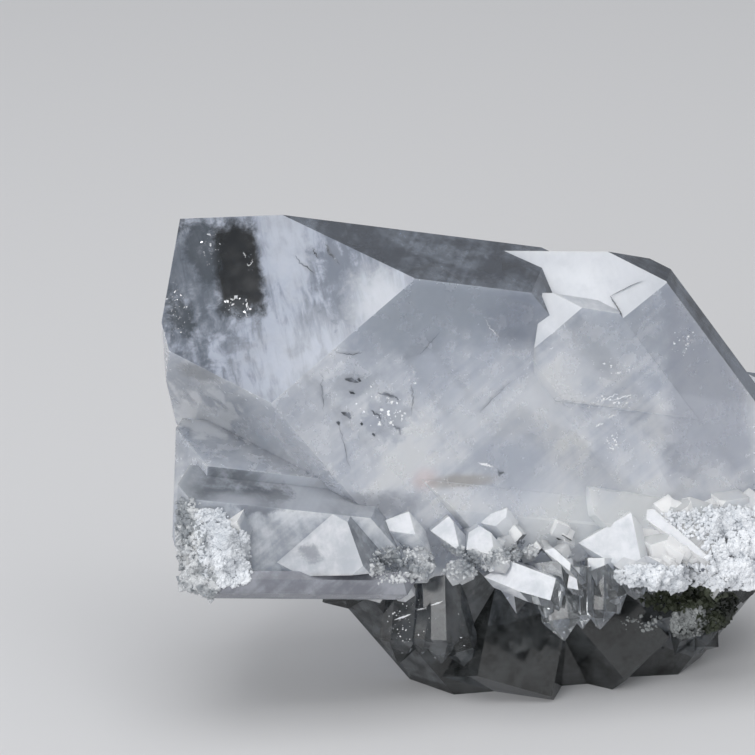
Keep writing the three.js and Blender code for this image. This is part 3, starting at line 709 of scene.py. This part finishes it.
darkSpecks = {"seed": 14, "lift": 0.9, "beds": (
    {"low": (34.3, -23.7, 0), "high": (35.4, -22.9, 9), "size": (0.14, 0.24), "count": 7},
    {"low": (13.0, -11.8, -1), "high": (13.8, -11.2, 2), "size": (0.06, 0.12), "count": 4},
)}
sown("dark_specks", crackDark, blockShape, **darkSpecks)

# Cracks: a thin wedge along a path on a face, narrowing to both ends. p = path + side * half the width, or
# path - normal * depth. Paths are x and y in the plate; rise lifts one to the face it lies on, stray is its wobble.
cracks = {
    "front": {"normal": sideFaces[0], "at": (0, 0, 0.0), "dark": (
        {"path": ((-4.6, 3.1), (-3, 2.7), (-1.6, 2.9)), "width": 0.12},
        {"path": ((-3.7, 0.1), (-2.9, -0.1), (-2.1, -0.4)), "width": 0.5},
        {"path": ((-0.2, -1.7), (1.2, -2.0), (2.4, -2.6)), "width": 0.4},
        {"path": ((-4.2, -3.6), (-3.5, -3.9), (-3.1, -4.4)), "width": 0.55},
        {"path": ((-4.8, -4.6), (-4.4, -5.0)), "width": 0.35},
        {"path": ((-2.2, 0.0), (-1.9, -0.3)), "width": 0.3},
        {"path": ((-2.0, -4.9), (-1.9, -5.2)), "width": 0.3},
        {"path": ((-0.8, -6.2), (-0.6, -6.5)), "width": 0.3},
        {"path": ((-3.2, -1.4), (-2.6, -1.7)), "width": 0.25},
        {"path": ((-0.9, -3.6), (-0.2, -4.1), (0.3, -4.9)), "width": 0.22},
        {"path": ((1.6, -5.4), (2.2, -5.9), (2.4, -6.6)), "width": 0.2},
        {"path": ((-6.1, 1.0), (-6.25, -1.2), (-6.1, -3.4)), "width": 0.1},
        {"path": ((-4.4, -5.0), (-4.0, -7.5), (-3.4, -10.1)), "width": 0.07},
        {"path": ((11.4, -4.6), (13.1, -3.0), (15.2, -1.2)), "width": 0.08},
        {"path": ((7.2, 4.8), (5.9, 3.3), (4.8, 2.2)), "width": 0.1},
        {"path": ((3.8, -1.0), (3.9, -2.6), (3.6, -4.6)), "width": 0.14},
        {"path": ((13.2, -11.3), (13.5, -11.6), (13.9, -11.5)), "width": 0.26},
    ), "pale": (
        {"path": ((12.3, 5.7), (13.0, 4.5), (13.9, 3.6)), "width": 0.09},
        {"path": ((10.9, -10.3), (11.8, -10.5), (12.8, -10.9)), "width": 0.3},
        {"path": ((23.5, -4.8), (24.0, -4.6), (24.6, -4.35)), "width": 0.1, "rise": 0.36},
        {"path": ((25.0, -4.0), (25.9, -3.7), (26.9, -3.4)), "width": 0.1, "rise": 1.0},
        {"path": ((26.3, -4.1), (27.4, -3.8), (28.4, -3.6)), "width": 0.08, "rise": 0.98},
        {"path": ((25.8, -6.1), (27.2, -5.6)), "width": 0.08, "rise": 0.48},
        {"path": ((24.4, -7.0), (25.3, -6.7)), "width": 0.06, "rise": 0.42},
    )},
    "point": {"normal": pointFaces[0], "at": pointFaces[0] * 10.39 + np.array([-3, -2, -9]), "dark": (
        {"path": ((-4.2, 14.6), (-3.9, 13.4), (-3.0, 12.2)), "width": 0.3},
        {"path": ((-7.5, 13.2), (-6.9, 12.2), (-5.4, 11.1)), "width": 0.2},
        {"path": ((-5.6, 14.0), (-5.2, 12.9)), "width": 0.1},
    ), "pale": (
        {"path": ((-12.7, 12.4), (-12.4, 12.2), (-12.0, 12.9)), "width": 0.07},
        {"path": ((-12.9, 13.6), (-12.8, 13.0)), "width": 0.05},
    )},
    "cap": {"normal": pointFaces[0], "at": (26.8, 7.5, -1.1), "dark": (
        {"path": ((26.8, 7.4), (27.15, 6.6), (27.7, 5.4)), "width": 0.2, "rise": 0.05, "stray": 0.015},
        {"path": ((26.8, 7.4), (27.9, 7.9), (28.9, 8.4), (30.4, 9.0)), "width": 0.07, "rise": 0.05, "stray": 0.015},
    ), "pale": ()},
    # underneath: pale bars, painted highlights for glints along crystal edges
    "underLeft": {"normal": (-0.16, 0.13, 0.98), "at": (2.2, -27.3, -1.8), "dark": (), "pale": (
        {"path": ((1.2, -27.8), (2.2, -27.5), (3.1, -27.2)), "width": 0.26, "rise": 0.05, "stray": 0.015},
    )},
    "underMiddle": {"normal": (-0.58, 0.32, 0.75), "at": (4.2, -26.8, -2.0), "dark": (), "pale": (
        {"path": ((3.5, -27.0), (4.2, -26.8), (4.9, -26.6)), "width": 0.22, "rise": 0.06, "stray": 0.015},
    )},
    "underRight": {"normal": (-0.42, 0.14, 0.9), "at": (6.1, -26.0, -1.0), "dark": (), "pale": (
        {"path": ((5.3, -26.3), (5.9, -26.1), (6.6, -25.8)), "width": 0.22, "rise": 0.05, "stray": 0.015},
    )},
}
wedge = {
    "depth": 0.9,
    "steps": 14,
    "stray": 0.06,
    "proud": 0.012,  # how far its upper side stands over the face
    "lean": 0.3,  # how far its foot is to the side
    "blunt": 0.08,  # 0 ends in points
}


def crackSheets(name, material, kind, seed):
    steps = wedge["steps"]
    ends = np.linspace(wedge["blunt"], math.pi - wedge["blunt"], steps)
    chance = np.random.default_rng(seed)
    allVerts, allFaces = [], []
    start = 0
    for group in cracks.values():
        normal = np.asarray(group["normal"], float)
        for crack in group[kind]:
            knots = np.array(crack["path"], float)
            t = np.linspace(0, len(knots) - 1, steps)
            flat = np.column_stack([np.interp(t, np.arange(len(knots)), knots[:, k]) for k in range(2)])
            flat[1:-1] += chance.normal(0, crack.get("stray", wedge["stray"]), (steps - 2, 2))
            at = np.array(group["at"], float)
            z = at[2] + crack.get("rise", 0.0) - ((flat - at[:2]) @ normal[:2]) / normal[2]
            path = np.column_stack([flat, z])
            side = np.cross(normal, np.gradient(path, axis=0))
            side /= np.linalg.norm(side, axis=1)[:, None]
            taper = np.sin(ends)[:, None] * chance.uniform(0.6, 1.0, (steps, 1))
            half = side * taper * crack["width"] / 2
            upper = path + normal * wedge["proud"]
            foot = path + (side * wedge["lean"] - normal * wedge["depth"]) * taper
            rows = np.stack([upper + half, upper - half, foot], axis=1)
            allVerts.append(plateToFrame(rows.reshape(-1, 3)))
            for n in range(steps - 1):
                for k in range(3):
                    a, b = start + n * 3 + k, start + n * 3 + (k + 1) % 3
                    allFaces.append([a, b, b + 3, a + 3])
            last = start + steps * 3 - 3
            allFaces += [[start, start + 2, start + 1], [last, last + 1, last + 2]]
            start += steps * 3
    addPiece(name, np.vstack(allVerts), allFaces, material)


crackSheets("dark_cracks", crackDark, "dark", 31)
crackSheets("pale_cracks_and_glint_bars", crackPaleAndGlint, "pale", 32)

# Floor

floorMesh = bpy.data.meshes.new("floor")
edge = look["floorReach"]
floorMesh.from_pydata([(-edge, -edge, 0), (edge, -edge, 0), (edge, edge, 0), (-edge, edge, 0)], [], [(0, 1, 2, 3)])
floor = bpy.data.objects.new("floor", floorMesh)
floorPaint = bpy.data.materials.new("floor_paint")
floorPaint.use_nodes = True
floorShader = floorPaint.node_tree.nodes["Principled BSDF"]
floorShader.inputs["Base Color"].default_value = (*look["floor"], 1)
floorShader.inputs["Roughness"].default_value = look["floorRoughness"]
floorMesh.materials.append(floorPaint)
scene.collection.objects.link(floor)
